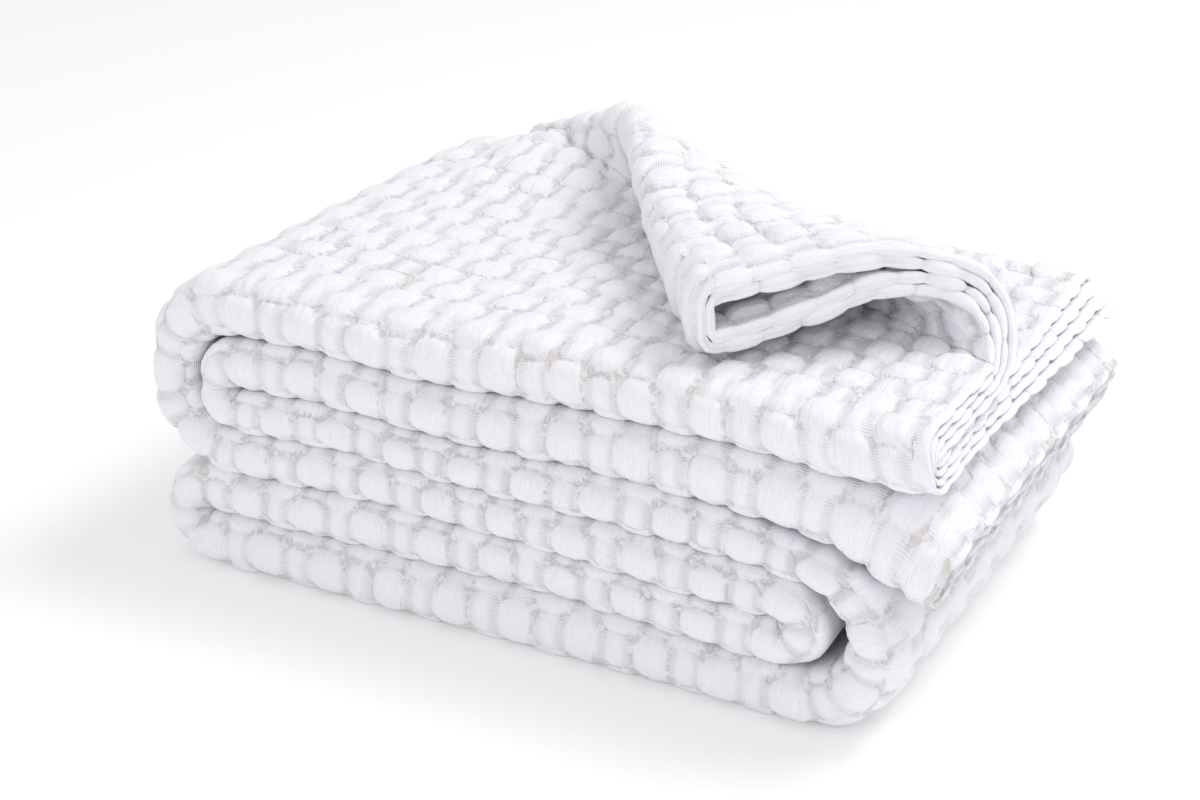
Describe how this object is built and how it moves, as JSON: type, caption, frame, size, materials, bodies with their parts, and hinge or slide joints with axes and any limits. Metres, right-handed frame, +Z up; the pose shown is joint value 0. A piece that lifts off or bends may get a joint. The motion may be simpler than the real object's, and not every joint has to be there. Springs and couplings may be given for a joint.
{
  "type": "folded matelasse coverlet",
  "caption": "Puffed matelasse cotton coverlet, folded in a stack of layers with one corner of the top turned over",
  "frame": {"origin": "on the surface under the middle of the whole folded stack", "axes": "X along the long side of the stack, left to right seen from the closed front folds; Y from the front folds to the back; Z up"},
  "size_m": [0.4438, 0.2756, 0.2098],
  "materials": {
    "cotton": "white matelasse cotton with puffed rounded pebbles, fine crosswise threads on them and warm ribbed gauze cells between them"
  },
  "bodies": {
    "root": {"coverlet": "cotton"}
  },
  "joints": []
}
